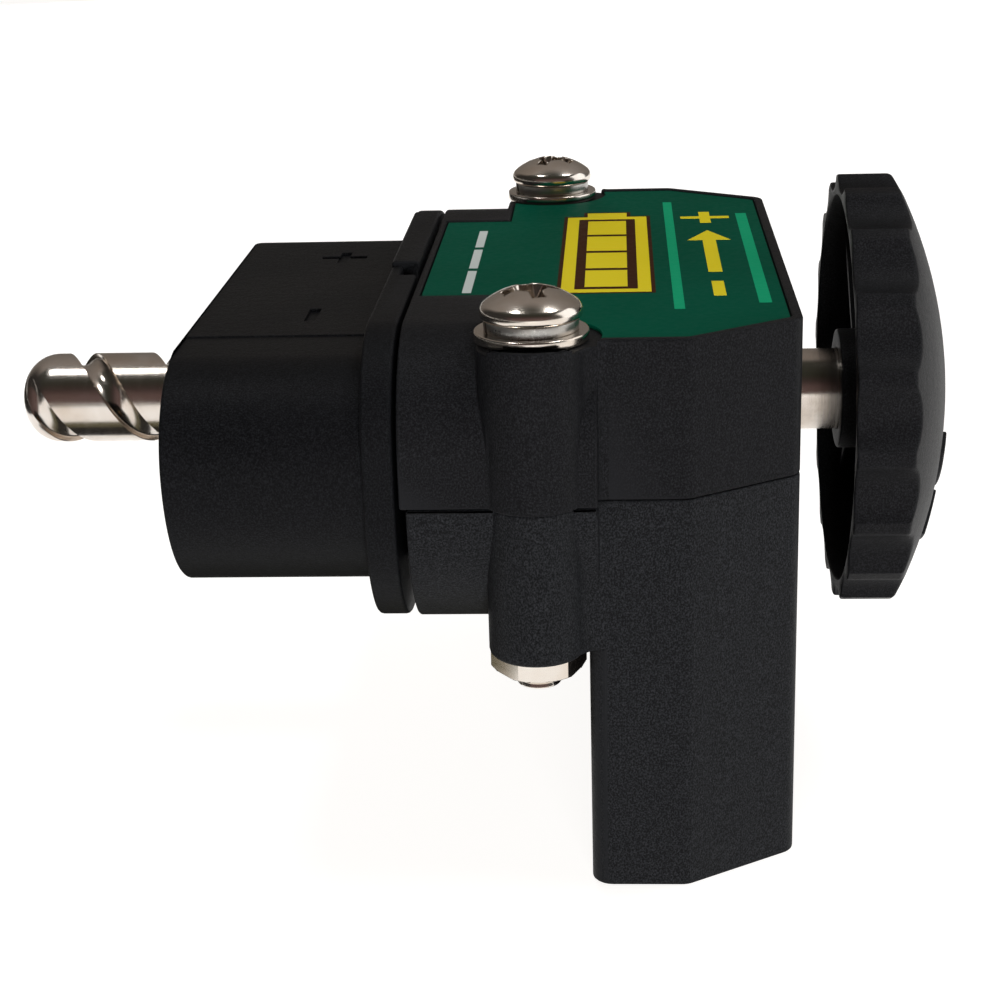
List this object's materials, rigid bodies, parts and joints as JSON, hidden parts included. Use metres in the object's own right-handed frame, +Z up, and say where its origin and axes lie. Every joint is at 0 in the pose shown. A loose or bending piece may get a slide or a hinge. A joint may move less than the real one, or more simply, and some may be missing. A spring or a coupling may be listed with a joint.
{
  "type": "battery disconnect switch plug",
  "caption": "Flanged battery disconnect plug with two sockets, a grooved drive stud, a scalloped hand knob and a deep cable leg in a screwed two-part black housing.",
  "frame": {"origin": "on the shaft axis, in the plane of the flange's seating face", "axes": "+X along the shaft towards the knob, +Z up through the label, -Y towards the front screw"},
  "size_m": [0.0982, 0.0798, 0.0617],
  "materials": {
    "housing_plastic": "satin moulded, glass filled",
    "knob_plastic": "satin moulded",
    "label": "printed green film",
    "stud_steel": "polished stainless steel",
    "screw_steel": "bright stainless steel",
    "plated_steel": "zinc plated",
    "spring_steel": "drawn wire",
    "tinned_copper": "tin plated",
    "contact_brass": "machined",
    "bronze": "sintered",
    "grommet_rubber": "matte"
  },
  "bodies": {
    "housing": {"nose_housing": "housing_plastic", "upper_shell": "housing_plastic", "lower_shell": "housing_plastic", "label_plate": "label", "rear_bushing": "bronze", "return_spring": "spring_steel", "case_screw_front": "screw_steel", "case_screw_back": "screw_steel", "case_lock_washer_front": "spring_steel", "case_lock_washer_back": "spring_steel", "case_flat_washer_front": "screw_steel", "case_flat_washer_back": "screw_steel", "case_nut_front": "screw_steel", "case_nut_back": "screw_steel", "contact_front": "contact_brass", "contact_back": "contact_brass", "cable_lug_front": "tinned_copper", "cable_lug_back": "tinned_copper", "lug_screw_front": "plated_steel", "lug_screw_back": "plated_steel", "lug_lock_washer_front": "spring_steel", "lug_lock_washer_back": "spring_steel", "cable_grommet_front": "grommet_rubber", "cable_grommet_back": "grommet_rubber"},
    "spring_carrier": {"spring_seat": "plated_steel", "thrust_washer": "bronze"},
    "drive": {"drive_shaft": "stud_steel", "knob": "knob_plastic", "knob_pin": "plated_steel", "retaining_ring": "spring_steel"}
  },
  "joints": [
    {"name": "shaft_push", "type": "slide", "parent": "housing", "child": "spring_carrier", "axis": [1, 0, 0], "range_m": [-0.005, 0], "stiffness_N_per_m": 800, "springref_m": 0.006, "deforming": ["return_spring"]},
    {"name": "knob_turn", "type": "hinge", "parent": "spring_carrier", "child": "drive", "pos_m": [0, 0, 0], "axis": [1, 0, 0], "continuous": true}
  ]
}
